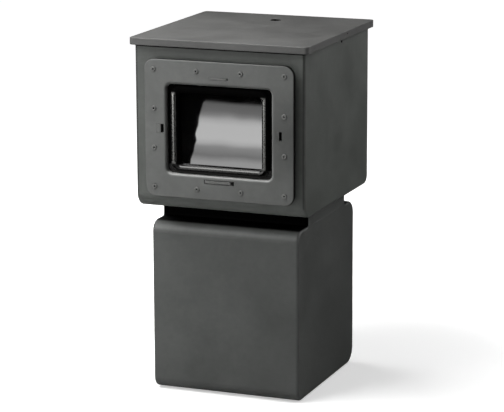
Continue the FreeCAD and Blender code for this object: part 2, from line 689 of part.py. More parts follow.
def top_plate():
    plate = floor_slab(TOP_HALF_X, TOP_HALF_Y, TOP_CORNER_R, BODY_TOP, TOTAL_HEIGHT)
    rims = [e for e in plate.Edges if abs(e.BoundBox.ZMin - e.BoundBox.ZMax) < 1e-6]
    plate = plate.makeFillet(TOP_EDGE_R, rims)
    pocket = floor_slab(TOP_HALF_X - TOP_RIM, TOP_HALF_Y - TOP_RIM, 6,
                        BODY_TOP - 1, TOTAL_HEIGHT - TOP_SKIN)
    hole = rod(TOP_HOLE_R, (0, TOP_HOLE_Y, BODY_TOP), (0, TOP_HOLE_Y, TOTAL_HEIGHT + 1))
    plate = plate.cut(pocket).cut(hole)
    for side in (-1, 1):
        plate = plate.cut(grub_screw_hole(side))
    hole_rim = [e for e in plate.Edges if abs(e.BoundBox.ZMin - TOTAL_HEIGHT) < 1e-3
                and e.BoundBox.XLength < 2 * TOP_HOLE_R + 1 and e.BoundBox.ZLength < 1e-3
                and abs(e.BoundBox.XMax) < TOP_HOLE_R + 1 and e.BoundBox.YLength > TOP_HOLE_R]
    return plate.makeFillet(1.2, hole_rim)


def grub_screw_hole(side):
    edge = side * TOP_HALF_X
    return rod(GRUB_R, (edge - side * GRUB_LENGTH, GRUB_Y, GRUB_Z), (edge + side, GRUB_Y, GRUB_Z))


def top_plate_grub_screws():
    """Set screws in the top plate's side edges, with their sockets outward."""
    screws = []
    for side in (-1, 1):
        edge = side * TOP_HALF_X
        inner = edge - side * GRUB_LENGTH
        outer = edge - side * 0.4
        screw = rod(GRUB_R, (inner, GRUB_Y, GRUB_Z), (outer, GRUB_Y, GRUB_Z))
        key = hex_prism(2.5, (outer - side * 3, GRUB_Y, GRUB_Z), (outer + side, GRUB_Y, GRUB_Z))
        screws.append(screw.cut(key))
    return group(screws)


def top_plate_bracket(side):
    """An angle under the top plate. The side screw pulls it to the body's wall."""
    wall = BODY_HALF_X - BODY_WALL
    under = TOTAL_HEIGHT - TOP_SKIN
    inner = wall - BRACKET_WIDTH
    thick = BRACKET_THICKNESS
    low = SIDE_SCREW_Z - 12
    y0 = SIDE_SCREW_Y - BRACKET_HALF_Y
    y1 = SIDE_SCREW_Y + BRACKET_HALF_Y
    leg = box(wall - thick, wall, y0, y1, low, BODY_TOP - 1)
    web = box(inner, inner + thick, y0, y1, low, under)
    sole = box(inner, wall, y0, y1, low, low + thick)
    bracket = leg.fuse([web, sole]).removeSplitter()
    bracket = bracket.cut(rod(SIDE_SCREW_R, (wall - 5, SIDE_SCREW_Y, SIDE_SCREW_Z),
                              (wall + 1, SIDE_SCREW_Y, SIDE_SCREW_Z)))
    if side > 0:
        return bracket
    return bracket.mirror(V(0, 0, 0), V(1, 0, 0))


def top_plate_screws():
    return group([socket_screw(4.5, 2.4, SIDE_SCREW_R, 8.0,
                               (side * BODY_HALF_X, SIDE_SCREW_Y, SIDE_SCREW_Z), (side, 0, 0))
                  for side in (-1, 1)])


# ---- fire chamber ------------------------------------------------------------------
def firebox_box(x0, x1, y0, y1, z0, z1):
    """A box whose X is measured from the middle of the door."""
    return box(DOOR_X + x0, DOOR_X + x1, y0, y1, z0, z1)


def firebox():
    """Welded from five plates. The front is open, behind the body's opening."""
    half = FIREBOX_HALF_X
    wall = FIREBOX_WALL
    front = BODY_FRONT_IN
    rear = FIREBOX_REAR
    low = FIREBOX_BASE
    high = FIREBOX_Z1 - wall
    base = firebox_box(-half, half, front, rear, FIREBOX_Z0, low)
    holes = []
    for column in range(4):
        x = AIR_HOLE_PITCH * (column - 1.5)
        for y in (-AIR_HOLE_ROW, AIR_HOLE_ROW):
            holes.append(rod(AIR_HOLE_R, (x, y, FIREBOX_Z0 - 1), (x, y, low + 1)))
    roof = firebox_box(-half, half, front, rear, high, FIREBOX_Z1)
    sides = [firebox_box(min(x, x + wall), max(x, x + wall), front, rear, low, high)
             for x in (-half, half - wall)]
    back = firebox_box(wall - half, half - wall, FIREBOX_BACK, rear, low, high)
    outlet = rod(FLUE_R + FLUE_WALL, (0, rear - 10, FLUE_Z), (0, rear + 1, FLUE_Z))
    return group([base.cut(group(holes)), roof, back.cut(outlet)] + sides)


def ash_pan():
    wall = ASH_WALL
    low = FIREBOX_BASE + wall
    outer = firebox_box(-ASH_HALF_X, ASH_HALF_X, ASH_FRONT, ASH_REAR, low, SHELF_Z - 4)
    inner = firebox_box(wall - ASH_HALF_X, ASH_HALF_X - wall, ASH_FRONT + wall, ASH_REAR - wall,
                        low + wall, SHELF_Z)
    grip = firebox_box(-30, 30, ASH_FRONT - 8, ASH_FRONT, SHELF_Z - 10, SHELF_Z - 7)
    feet = [firebox_box(s * (ASH_HALF_X - 20) - 5, s * (ASH_HALF_X - 20) + 5, ASH_FRONT + 5,
                        ASH_REAR - 5, FIREBOX_BASE, low) for s in (-1, 1)]
    return outer.cut(inner).fuse([grip] + feet).removeSplitter()


def grate_shelf():
    """The steel shelf over the ash pan. The grate drops into its hole."""
    half = FIREBOX_IN_X
    shelf = firebox_box(-half, half, BRICK_FRONT, FIREBOX_BACK, SHELF_Z, SHELF_TOP)
    hole = firebox_box(-GRATE_HALF_X, GRATE_HALF_X, GRATE_FRONT, GRATE_REAR, SHELF_Z - 1, SHELF_TOP + 1)
    legs = [firebox_box(s * (half - 4) - 2, s * (half - 4) + 2, BRICK_FRONT, FIREBOX_REAR - 10,
                        FIREBOX_BASE, SHELF_Z) for s in (-1, 1)]
    return shelf.cut(hole).fuse(legs).removeSplitter()


def grate():
    """Cast grate with long slots, on a lip round its edge."""
    top = BED_Z - 4
    lip = GRATE_LIP
    body = firebox_box(1 - GRATE_HALF_X, GRATE_HALF_X - 1, GRATE_FRONT + 1, GRATE_REAR - 1,
                       SHELF_Z, top)
    rim = firebox_box(-GRATE_HALF_X - lip, GRATE_HALF_X + lip, GRATE_FRONT - lip, GRATE_REAR + lip,
                      SHELF_TOP, top)
    casting = body.fuse(rim).removeSplitter()
    slots = []
    for i in range(GRATE_SLOTS):
        x = GRATE_PITCH * (i - (GRATE_SLOTS - 1) / 2)
        slots.append(firebox_box(x - GRATE_SLOT_WIDTH / 2, x + GRATE_SLOT_WIDTH / 2,
                                 GRATE_FRONT + GRATE_SLOT_END, GRATE_REAR - GRATE_SLOT_END,
                                 SHELF_Z - 1, top + 1))
    return casting.cut(group(slots))


def side_brick(side):
    x0 = min(side * BRICK_OUT_X, side * BRICK_IN_X)
    brick = firebox_box(x0, x0 + BRICK, BRICK_FRONT, BRICK_REAR, SHELF_TOP, SIDE_BRICK_TOP)
    hole = rod(BAFFLE_ROD_R + 0.4, (-BODY_HALF_X, BAFFLE_ROD_Y, BAFFLE_ROD_Z),
               (BODY_HALF_X, BAFFLE_ROD_Y, BAFFLE_ROD_Z))
    return brick.cut(hole)


def rear_brick():
    half = BRICK_IN_X - 0.5
    return firebox_box(-half, half, BRICK_REAR - BRICK, BRICK_REAR, SHELF_TOP, REAR_BRICK_TOP)


def floor_brick(side):
    inner = GRATE_HALF_X + GRATE_LIP + 1
    outer = BRICK_IN_X - 0.5
    x0 = min(side * inner, side * outer)
    return firebox_box(x0, x0 + outer - inner, BRICK_FRONT + 10, FLOOR_BRICK_REAR, SHELF_TOP, BED_Z)


def floor_brick_rear():
    half = GRATE_HALF_X + GRATE_LIP
    return firebox_box(-half, half, GRATE_REAR + GRATE_LIP + 1, FLOOR_BRICK_REAR, SHELF_TOP, BED_Z)


def baffle_plate():
    """Sloping board that sends the flames forward under the flue outlet."""
    half = BRICK_IN_X - 0.8
    board = box(DOOR_X - half, DOOR_X + half, -BAFFLE_LENGTH, 0, 0, BAFFLE_THICKNESS)
    board.rotate(V(0, 0, 0), V(1, 0, 0), -math.degrees(BAFFLE_TILT))
    board.translate(V(0, BAFFLE_REAR, REAR_BRICK_TOP))
    return board


def baffle_rod():
    reach = FIREBOX_IN_X - 2
    return rod(BAFFLE_ROD_R, (DOOR_X - reach, BAFFLE_ROD_Y, BAFFLE_ROD_Z),
               (DOOR_X + reach, BAFFLE_ROD_Y, BAFFLE_ROD_Z))


def log_guard():
    """A low steel rail that keeps logs off the glass."""
    half = BRICK_IN_X - 1
    sole = firebox_box(-half, half, BRICK_FRONT, BRICK_FRONT + 9, SHELF_TOP, SHELF_TOP + 4)
    rail = firebox_box(-half, half, BRICK_FRONT, BRICK_FRONT + 4, SHELF_TOP, BED_Z + LOG_GUARD_RISE)
    return sole.fuse(rail).removeSplitter()


def insulation(side):
    wall = BODY_HALF_X - BODY_WALL - 1
    inner = side * FIREBOX_HALF_X + DOOR_X + side * 1
    outer = side * wall
    return box(min(inner, outer), max(inner, outer), BODY_FRONT + 20, BODY_REAR - 20,
               FIREBOX_Z0, INSULATION_TOP)


def flue_collar():
    """Socket for the flue pipe, from the firebox out through the back."""
    pipe = tube(FLUE_R + FLUE_WALL, FLUE_R, (0, FIREBOX_BACK, FLUE_Z), (0, FLUE_END, FLUE_Z))
    flange = tube(FLUE_FLANGE_R, FLUE_R + 1, (0, BODY_REAR, FLUE_Z),
                  (0, BODY_REAR + FLUE_FLANGE, FLUE_Z))
    collar = pipe.fuse(flange)
    for x, z in flue_screw_places():
        collar = collar.cut(rod(FLUE_SCREW_R + 0.2, (x, BODY_REAR - 1, z), (x, BODY_REAR + 9, z)))
    return collar


def flue_collar_screws():
    return group([socket_screw(4.8, 3, FLUE_SCREW_R, 12, (x, BODY_REAR + FLUE_FLANGE, z), (0, 1, 0))
                  for x, z in flue_screw_places()])


# ---- door --------------------------------------------------------------------------
def door_bolt_places():
    places = []
    for x in BOLT_COLUMNS:
        for z in BOLT_ROWS:
            if abs(x) == max(BOLT_COLUMNS) or abs(z) == max(BOLT_ROWS):
                places.append((x, z))
    return places


def door_plate():
    plate = front_slab(DOOR_WIDTH / 2, DOOR_HEIGHT / 2, DOOR_CORNER_R, PLATE_FRONT, PLATE_BACK)
    hole = front_slab(WINDOW_WIDTH / 2, WINDOW_HEIGHT / 2, WINDOW_CORNER_R,
                      PLATE_FRONT - 1, PLATE_BACK + 1)
    plate = plate.cut(hole)
    outer, inner = front_edges(plate, PLATE_FRONT, WINDOW_WIDTH / 2 + 5)
    plate = plate.makeFillet(WINDOW_LIP_R, inner)
    outer, inner = front_edges(plate, PLATE_FRONT, WINDOW_WIDTH / 2 + 15)
    plate = plate.makeFillet(DOOR_EDGE_R, outer)
    cuts = []
    for x0, x1, z0, z1, spare, gap in list(LUGS.values()) + list(BARS.values()):
        cuts.append(door_box(x0 - gap, x1 + spare, PLATE_FRONT - 1, PLATE_BACK + 1, z0 - gap, z1 + gap))
    for x, z in frame_screw_places():
        cuts.append(door_rod(FRAME_SCREW_R, x, z, PLATE_BACK - 8, PLATE_BACK + 1))
    for x, z in door_bolt_places():
        cuts.append(door_rod(BOLT_R + 0.2, x, z, PLATE_FRONT - 1, PLATE_BACK + 1))
    return plate.cut(group(cuts))


def lever_pocket():
    """Room for the finger lever, open to the frame's edge, down to where it is turned."""
    hub = LEVER_HUB_R + 4
    return door_box(LATCH_X - hub, FRAME_HALF_X + 1, PLATE_BACK - 1, PLATE_BACK + POCKET_DEPTH,
                    LATCH_Z - LEVER_LENGTH - 8, LATCH_Z + hub - 1)


def seal_ring(y0, y1):
    half_x = FRAME_HALF_X - SEAL_INSET
    half_z = FRAME_HALF_Z - SEAL_INSET
    outer = front_slab(half_x, half_z, SEAL_CORNER_R, y0, y1)
    inner = front_slab(half_x - SEAL_WIDTH, half_z - SEAL_WIDTH, SEAL_CORNER_R - SEAL_WIDTH,
                       y0 - 1, y1 + 1)
    return outer.cut(inner)


def door_frame():
    """Steel ring behind the plate. It carries the seal, hinges, latch and window rails."""
    ring = front_slab(FRAME_HALF_X, FRAME_HALF_Z, FRAME_CORNER_R, PLATE_BACK, FRAME_BACK)
    ring = ring.cut(front_slab(FRAME_INNER_X, FRAME_INNER_Z, FRAME_INNER_R,
                               PLATE_BACK - 1, FRAME_BACK + 1))
    cuts = [lever_pocket(), seal_ring(FRAME_BACK - SEAL_DEPTH, FRAME_BACK + 1)]
    for side in (-1, 1):
        x0 = min(side * (FRAME_INNER_X - 1), side * (FRAME_INNER_X + 4))
        cuts.append(door_box(x0, x0 + 5, PLATE_BACK - 1, FLANGE_BACK + 0.5,
                             -EAR_HALF_Z - 0.5, EAR_HALF_Z + 0.5))
    cuts.append(door_rod(LATCH_BUSH_R, LATCH_X, LATCH_Z, PLATE_BACK, FRAME_BACK + 1))
    for x, z in door_bolt_places():
        cuts.append(door_rod(BOLT_R, x, z, PLATE_BACK - 1, PLATE_BACK + BOLT_GRIP + 1))
    return ring.cut(group(cuts))


def door_seal():
    """Rope seal in the frame's groove, just clear of the body's front."""
    return seal_ring(FRAME_BACK - SEAL_DEPTH, BODY_FRONT - SMALL)


def door_bolts():
    return group([socket_screw(BOLT_HEAD_R, BOLT_HEAD_H, BOLT_R, DOOR_PLATE + BOLT_GRIP,
                               (DOOR_X + x, PLATE_FRONT, DOOR_Z + z), (0, -1, 0))
                  for x, z in door_bolt_places()])


def frame_screw_places():
    return [(sx * FRAME_SCREW_X, sz * FRAME_SCREW_Z) for sx in (-1, 1) for sz in (-1, 1)]


def window_frame_screws():
    return group([socket_screw(4.5, 2.4, FRAME_SCREW_R, 15, (DOOR_X + x, FLANGE_BACK, DOOR_Z + z),
                               (0, 1, 0))
                  for x, z in frame_screw_places()])


def air_slider(name):
    """Shutter behind the door plate. Its bar stands in the slot, with the inlet beside it."""
    bar_x0, bar_x1, bar_z0, bar_z1, spare, gap = BARS[name]
    x0, x1, z0, z1 = SLIDER_PLATES[name]
    y0 = PLATE_BACK + SMALL
    plate = door_box(x0, x1, y0, y0 + SLIDER_THICKNESS, z0, z1)
    bar = door_box(bar_x0, bar_x1, PLATE_FRONT - LUG_PROUD, y0 + 1, bar_z0, bar_z1)
    return plate.fuse(bar).cut(air_port(name)).removeSplitter()


def air_port(name):
    """The inlet at the right end of a slot, through the slider and the window frame."""
    bar_x1, bar_z0, bar_z1, spare, gap = BARS[name][1:]
    return door_box(bar_x1 + 1, bar_x1 + spare, PLATE_BACK - 1, FLANGE_BACK + 1,
                    bar_z0 - gap, bar_z1 + gap)


# ---- hinges ------------------------------------------------------------------------
def hinge_leaf(row):
    """Door half of a hinge: a barrel over the pin, with a leaf to the door frame."""
    z0 = DOOR_Z + row + KNUCKLE_GAP
    x = DOOR_X + HINGE_X
    barrel = rod(HINGE_BARREL_R, (x, HINGE_Y, z0), (x, HINGE_Y, z0 + KNUCKLE))
    leaf = box(x, DOOR_X - FRAME_HALF_X, HINGE_Y - HINGE_LEAF / 2, HINGE_Y + HINGE_LEAF / 2,
               z0, z0 + KNUCKLE)
    bore = rod(HINGE_PIN_R + TURNING_CLEAR, (x, HINGE_Y, z0 - 1), (x, HINGE_Y, z0 + KNUCKLE + 1))
    return barrel.fuse(leaf).cut(bore)


def hinge_bracket(row):
    """Body half of a hinge: a barrel under the door's, on a plate screwed to the body."""
    z1 = DOOR_Z + row
    x = DOOR_X + HINGE_X
    barrel = rod(HINGE_BARREL_R, (x, HINGE_Y, z1 - KNUCKLE), (x, HINGE_Y, z1))
    web = box(x - HINGE_LEAF / 2, x + HINGE_LEAF / 2, HINGE_Y, BODY_FRONT - 2, z1 - KNUCKLE, z1)
    base = box(x - 4, x + 5, BODY_FRONT - 3, BODY_FRONT, z1 - KNUCKLE - 14, z1 + 14)
    bracket = barrel.fuse([web, base])
    bracket = bracket.cut(rod(HINGE_PIN_R, (x, HINGE_Y, z1 - KNUCKLE - 1), (x, HINGE_Y, z1 + 1)))
    for offset in hinge_screw_offsets():
        z = z1 + offset
        bracket = bracket.cut(rod(HINGE_SCREW_R, (x, BODY_FRONT - 5, z), (x, BODY_FRONT + 1, z)))
    return bracket


def hinge_screw_offsets():
    return (-KNUCKLE - HINGE_SCREW_MARGIN, HINGE_SCREW_MARGIN)


def hinge_screw_places():
    x = DOOR_X + HINGE_X
    return [(x, DOOR_Z + row + offset) for row in HINGE_ROWS for offset in hinge_screw_offsets()]


def hinge_screws():
    return group([socket_screw(3.6, 2.2, HINGE_SCREW_R, 8, (x, BODY_FRONT - 3, z), (0, -1, 0))
                  for x, z in hinge_screw_places()])


def hinge_pin(row):
    x = DOOR_X + HINGE_X
    z = DOOR_Z + row
    return rod(HINGE_PIN_R, (x, HINGE_Y, z - KNUCKLE), (x, HINGE_Y, z + KNUCKLE + KNUCKLE_GAP))


# ---- latch -------------------------------------------------------------------------
def latch_bush():
    y0 = PLATE_BACK + POCKET_DEPTH
    outer = door_rod(LATCH_BUSH_R, LATCH_X, LATCH_Z, y0, FRAME_BACK + 4)
    return outer.cut(door_rod(LATCH_SPINDLE_R + TURNING_CLEAR, LATCH_X, LATCH_Z, y0 - 1, FRAME_BACK + 5))


def latch_spindle():
    """Turning shaft from the lever, behind the plate, to the tongue inside the body."""
    shaft = door_rod(LATCH_SPINDLE_R, LATCH_X, LATCH_Z, LEVER_Y1, TONGUE_Y0)
    nose = door_rod(LATCH_NOSE_R, LATCH_X, LATCH_Z, TONGUE_Y0, LATCH_REAR)
    head = door_rod(LATCH_NOSE_R, LATCH_X, LATCH_Z, LEVER_Y0, LEVER_Y1)
    return shaft.fuse([nose, head])


def latch_lever():
    """Finger lever in the gap behind the door plate, pointing out to the latch side."""
    hub = door_rod(LEVER_HUB_R, LATCH_X, LATCH_Z, LEVER_Y0, LEVER_Y1)
    arm = door_box(LATCH_X, LATCH_X + LEVER_LENGTH, LEVER_Y0, LEVER_Y1,
                   LATCH_Z - LATCH_BAR_HALF, LATCH_Z + LATCH_BAR_HALF)
    lever = hub.fuse(arm).removeSplitter()
    return lever.cut(door_rod(LATCH_NOSE_R, LATCH_X, LATCH_Z, LEVER_Y0 - 1, LEVER_Y1 + 1))


def latch_tongue():
    """Bar on the spindle. Upright it clears the opening, turned it grips behind the edge."""
    hub = door_rod(TONGUE_HUB_R, LATCH_X, LATCH_Z, TONGUE_Y0, TONGUE_Y1)
    bar = door_box(LATCH_X - LATCH_BAR_HALF, LATCH_X + LATCH_BAR_HALF, TONGUE_Y0, TONGUE_Y1,
                   LATCH_Z, LATCH_Z + TONGUE_LENGTH)
    tongue = hub.fuse(bar).removeSplitter()
    return tongue.cut(door_rod(LATCH_NOSE_R, LATCH_X, LATCH_Z, TONGUE_Y0 - 1, TONGUE_Y1 + 1))


def latch_nut():
    x = DOOR_X + LATCH_X
    z = DOOR_Z + LATCH_Z
    nut = hex_prism(11, (x, TONGUE_Y1, z), (x, LATCH_REAR, z))
    return nut.cut(door_rod(LATCH_NOSE_R, LATCH_X, LATCH_Z, TONGUE_Y1 - 1, LATCH_REAR + 1))


def latch_keeper():
    """Wear plate on the inside of the body's front, where the tongue grips."""
    return door_box(OPENING_HALF_X + 0.5, OPENING_HALF_X + 17, BODY_FRONT_IN, BODY_FRONT_IN + 2,
                    LATCH_Z - 20, LATCH_Z + 20)


# ---- window ------------------------------------------------------------------------
def bead():
    """Half-round bead about the glass: a round bar bent to a rectangle."""
    x = BEAD_HALF_X
    z = BEAD_HALF_Z
    corners = [(DOOR_X - x, DOOR_Z - z, BEAD_CORNER_R), (DOOR_X + x, DOOR_Z - z, BEAD_CORNER_R),
               (DOOR_X + x, DOOR_Z + z, BEAD_CORNER_R), (DOOR_X - x, DOOR_Z + z, BEAD_CORNER_R)]
    path = corner_wire(corners, lambda p: V(p.x, PLATE_BACK, p.y))
    ring = Part.Wire(Part.makeCircle(BEAD_R, V(DOOR_X, PLATE_BACK, DOOR_Z - z), V(1, 0, 0)))
    bar = path.makePipeShell([ring], True, True)
    keep = front_slab(200, 180, 1, PLATE_BACK - 20, PLATE_BACK)
    return bar.common(keep)


def window_lug(name):
    """Block riveted to the window frame. It stands in a slot of the door plate."""
    x0, x1, z0, z1 = LUGS[name][:4]
    lug = door_box(x0, x1, PLATE_FRONT - LUG_PROUD, PLATE_BACK, z0, z1)
    upright = [e for e in lug.Edges if abs(e.BoundBox.YMax - PLATE_FRONT + LUG_PROUD) < 1e-3]
    return lug.makeChamfer(LUG_CHAMFER, upright)


def slider_pocket(name):
    """The shallow pocket in the window frame that a slider runs in."""
    x0, x1, z0, z1 = SLIDER_PLATES[name]
    travel = BARS[name][4]
    low = z0 - 0.5 if z0 > 0 else -FLANGE_HALF_Z - 1
    high = z1 + 0.5 if z1 < 0 else FLANGE_HALF_Z + 1
    return door_box(x0 - 0.5, x1 + travel, PLATE_BACK - 1, PLATE_BACK + SLIDER_THICKNESS + 2 * SMALL,
                    low, high)


def window_frame():
    """Cast frame that carries the glass and closes the back of the door plate's slots."""
    flange = front_slab(FLANGE_HALF_X, FLANGE_HALF_Z, FLANGE_CORNER_R, PLATE_BACK, FLANGE_BACK)
    ear_x = LUGS["left"][0] - 0.5
    ear = door_box(ear_x, 1 - FLANGE_HALF_X, PLATE_BACK, FLANGE_BACK, -EAR_HALF_Z, EAR_HALF_Z)
    frame = flange.fuse(ear)
    hole = front_slab(BEAD_HALF_X - BEAD_R, BEAD_HALF_Z - BEAD_R, BEAD_CORNER_R - BEAD_R,
                      PLATE_BACK - 30, FLANGE_BACK + 1)
    frame = frame.cut(hole).fuse(bead())
    cuts = clamp_screw_holes()
    for x0, x1, z0, z1, spare, gap in LUGS.values():
        cuts.append(door_box(x1 + 1, x1 + spare, PLATE_BACK - 1, FLANGE_BACK + 1, z0, z1))
    for name in BARS:
        cuts += [slider_pocket(name), air_port(name)]
    for screw_x, screw_z in frame_screw_places():
        cuts.append(door_rod(FRAME_SCREW_R + 0.2, screw_x, screw_z, PLATE_BACK - 1, FLANGE_BACK + 1))
    return frame.cut(group(cuts)).removeSplitter()


def clamp_screw_places():
    return [(sx * CLAMP_SCREW_X, sz * z) for sx in (-1, 1) for sz in (-1, 1)
            for z in CLAMP_SCREW_ROWS]


def clamp_screw_holes():
    return [door_rod(CLAMP_SCREW_R, x, z, FLANGE_BACK - 6, GLASS_BACK + 6)
            for x, z in clamp_screw_places()]


def pane_slab(inset, y0, y1):
    """A plate of the pane's outline, drawn in by inset."""
    return front_slab(GLASS_WIDTH / 2 - inset, GLASS_HEIGHT / 2 - inset, GLASS_CORNER_R, y0, y1)


def glass_gasket():
    outer = pane_slab(0, FLANGE_BACK, GLASS_FRONT)
    return outer.cut(pane_slab(GASKET_WIDTH, FLANGE_BACK - 1, GLASS_FRONT + 1))


def glass_pane():
    return pane_slab(0, GLASS_FRONT, GLASS_BACK)


def glass_clamp():
    """Rear frame that holds the pane against its gasket."""
    outer = front_slab(CLAMP_HALF_X, CLAMP_HALF_Z, 8, FLANGE_BACK, CLAMP_BACK)
    pocket = pane_slab(-0.5, FLANGE_BACK - 1, GLASS_BACK)
    view = pane_slab(CLAMP_LAP, FLANGE_BACK - 1, CLAMP_BACK + 1)
    return outer.cut(pocket).cut(view).cut(group(clamp_screw_holes()))


def glass_clamp_screws():
    return group([socket_screw(3.8, 2.2, CLAMP_SCREW_R, 11, (DOOR_X + x, CLAMP_BACK, DOOR_Z + z),
                               (0, 1, 0)) for x, z in clamp_screw_places()])


# ---- every node --------------------------------------------------------------------
def build():
    nodes = {
        "pedestal_shell": pedestal_shell(),
        "pedestal_rear_panel": pedestal_rear_panel(),
        "pedestal_panel_screws": pedestal_panel_screws(),
        "air_intake_collar": air_intake_collar(),
        "air_duct": air_duct(),
        "air_box": air_box(),
        "air_slide_plate": air_slide_plate(),
        "body_shell": body_shell(),
        "neck_bolts": neck_bolts(),
        "neck_nuts": neck_nuts(),
        "top_plate": top_plate(),
        "top_plate_bracket_left": top_plate_bracket(-1),
        "top_plate_bracket_right": top_plate_bracket(1),
        "top_plate_screws": top_plate_screws(),
        "top_plate_grub_screws": top_plate_grub_screws(),
        "firebox": firebox(),
        "ash_pan": ash_pan(),
        "grate_shelf": grate_shelf(),
        "grate": grate(),
        "side_brick_left": side_brick(-1),
        "side_brick_right": side_brick(1),
        "rear_brick": rear_brick(),
        "floor_brick_left": floor_brick(-1),
        "floor_brick_right": floor_brick(1),
        "floor_brick_rear": floor_brick_rear(),
        "baffle_plate": baffle_plate(),
        "baffle_rod": baffle_rod(),
        "log_guard": log_guard(),
        "insulation_left": insulation(-1),
        "insulation_right": insulation(1),
        "flue_collar": flue_collar(),
        "flue_collar_screws": flue_collar_screws(),
        "door_plate": door_plate(),
        "door_frame": door_frame(),
        "door_seal": door_seal(),
        "door_bolts": door_bolts(),
        "window_frame_screws": window_frame_screws(),
        "primary_air_slider": air_slider("lower"),
        "airwash_slider": air_slider("upper"),
        "levelling_feet": group([foot(x, y) for x, y in FOOT_PLACES]),
        "hinge_pins": group([hinge_pin(row) for row in HINGE_ROWS]),
        "hinge_screws": hinge_screws(),
        "latch_bush": latch_bush(),
        "latch_spindle": latch_spindle(),
        "latch_lever": latch_lever(),
        "latch_tongue": latch_tongue(),
        "latch_nut": latch_nut(),
        "latch_keeper": latch_keeper(),
        "window_frame": window_frame(),
        "window_lug_left": window_lug("left"),
        "window_lug_right": window_lug("right"),
        "glass_gasket": glass_gasket(),
        "glass_pane": glass_pane(),
        "glass_clamp": glass_clamp(),
        "glass_clamp_screws": glass_clamp_screws(),
    }
    for name, row in zip(("lower", "upper"), HINGE_ROWS):
        nodes["hinge_leaf_" + name] = hinge_leaf(row)
        nodes["hinge_bracket_" + name] = hinge_bracket(row)
    return nodes


def main():
    os.makedirs("parts", exist_ok=True)
    nodes = build()
    for name, shape in nodes.items():
        shape.exportStep("parts/" + name + ".step")
        print(name, "solids", len(shape.Solids), "valid", shape.isValid(), "volume", round(shape.Volume))
    print(len(nodes), "nodes")


main()
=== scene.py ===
import bpy
import json
import math
from mathutils import Matrix, Vector


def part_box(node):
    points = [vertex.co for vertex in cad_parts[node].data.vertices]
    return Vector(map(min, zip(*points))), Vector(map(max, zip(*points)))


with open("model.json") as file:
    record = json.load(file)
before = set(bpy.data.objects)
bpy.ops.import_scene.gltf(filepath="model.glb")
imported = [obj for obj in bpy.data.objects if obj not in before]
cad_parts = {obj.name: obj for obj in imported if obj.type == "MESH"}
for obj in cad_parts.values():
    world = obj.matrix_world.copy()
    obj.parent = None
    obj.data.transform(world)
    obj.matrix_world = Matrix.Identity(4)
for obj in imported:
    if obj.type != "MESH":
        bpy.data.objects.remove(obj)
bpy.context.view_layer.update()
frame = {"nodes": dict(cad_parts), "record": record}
nodes = frame["nodes"]
scene = bpy.context.scene

# ---- camera, at the photograph's viewing angle ---------------------------------------
AZIMUTH = math.radians(21.57)
ELEVATION = math.radians(12.72)
ROLL = math.radians(-0.24)
DISTANCE = 6.7006
TARGET = Vector((-0.0052, -0.0089, 0.4952))
LENS = 169.68


def make_camera():
    """Aims at TARGET from DISTANCE, turned a little about its own axis by ROLL."""
    data = bpy.data.cameras.new("camera")
    cam = bpy.data.objects.new("camera", data)
    scene.collection.objects.link(cam)
    data.lens = LENS
    data.sensor_width = 36.0
    data.clip_start = 0.1
    data.clip_end = 100.0
    back = Vector((math.sin(AZIMUTH) * math.cos(ELEVATION),
                   -math.cos(AZIMUTH) * math.cos(ELEVATION),
                   math.sin(ELEVATION)))
    right = Vector((math.cos(AZIMUTH), math.sin(AZIMUTH), 0))
    up = back.cross(right)
    right_r = right * math.cos(ROLL) + up * math.sin(ROLL)
    up_r = up * math.cos(ROLL) - right * math.sin(ROLL)
    place = TARGET + back * DISTANCE
    cam.matrix_world = Matrix((
        (right_r.x, up_r.x, back.x, place.x),
        (right_r.y, up_r.y, back.y, place.y),
        (right_r.z, up_r.z, back.z, place.z),
        (0, 0, 0, 1)))
    scene.camera = cam


# ---- light and floor ----------------------------------------------------------------
MIDDLE = (0, 0, 0.6)        # where every lamp points
ROOM_LIGHT = 0.016          # strength of the even light from all round


def area_light(name, place, aim, width, height, power):
    data = bpy.data.lights.new(name, "AREA")
    data.shape = "RECTANGLE"
    data.size = width
    data.size_y = height
    data.energy = power
    light = bpy.data.objects.new(name, data)
    scene.collection.objects.link(light)
    light.location = place
    light.rotation_mode = "QUATERNION"
    light.rotation_quaternion = (Vector(aim) - Vector(place)).to_track_quat("-Z", "Y")
    light.visible_camera = False


def polar(azimuth, elevation, distance):
    """A place round the stove's middle. Azimuth 0 is in front of it."""
    a = math.radians(azimuth)
    e = math.radians(elevation)
    return (distance * math.sin(a) * math.cos(e), -distance * math.cos(a) * math.cos(e),
            MIDDLE[2] + distance * math.sin(e))


# name: azimuth and elevation in degrees, distance, width and height in metres, watts
LAMPS = {
    "key_high": (-40, 60, 2.6, 1.6, 1.6, 75),
    "key_low": (-40, 30, 3.0, 1.8, 1.8, 17),
    "front_low": (-40, 5, 3.0, 1.8, 1.0, 19),
    "front": (0, 10, 3.5, 2.0, 1.2, 3),
    "left": (-110, 30, 3.0, 2.0, 2.0, 52),
    "overhead": (0, 85, 2.2, 1.8, 1.8, 5),
    "right": (60, 30, 3.0, 1.8, 1.8, 5),
    "right_side": (95, 25, 3.0, 1.8, 1.8, 3.5),
    "right_high": (95, 60, 2.6, 1.8, 1.8, 3.5),
    "right_low": (80, 3, 3.0, 2.4, 1.0, 2),
    "back_right": (130, 25, 3.0, 2.0, 2.0, 30),
}


def lights():
    world = bpy.data.worlds.new("studio")
    scene.world = world
    world.use_nodes = True
    world.node_tree.nodes["Background"].inputs[0].default_value = (1, 1, 1, 1)
    world.node_tree.nodes["Background"].inputs[1].default_value = ROOM_LIGHT
    world.cycles_visibility.glossy = False
    for name, (azimuth, elevation, distance, width, height, power) in LAMPS.items():
        area_light(name, polar(azimuth, elevation, distance), MIDDLE, width, height, power)


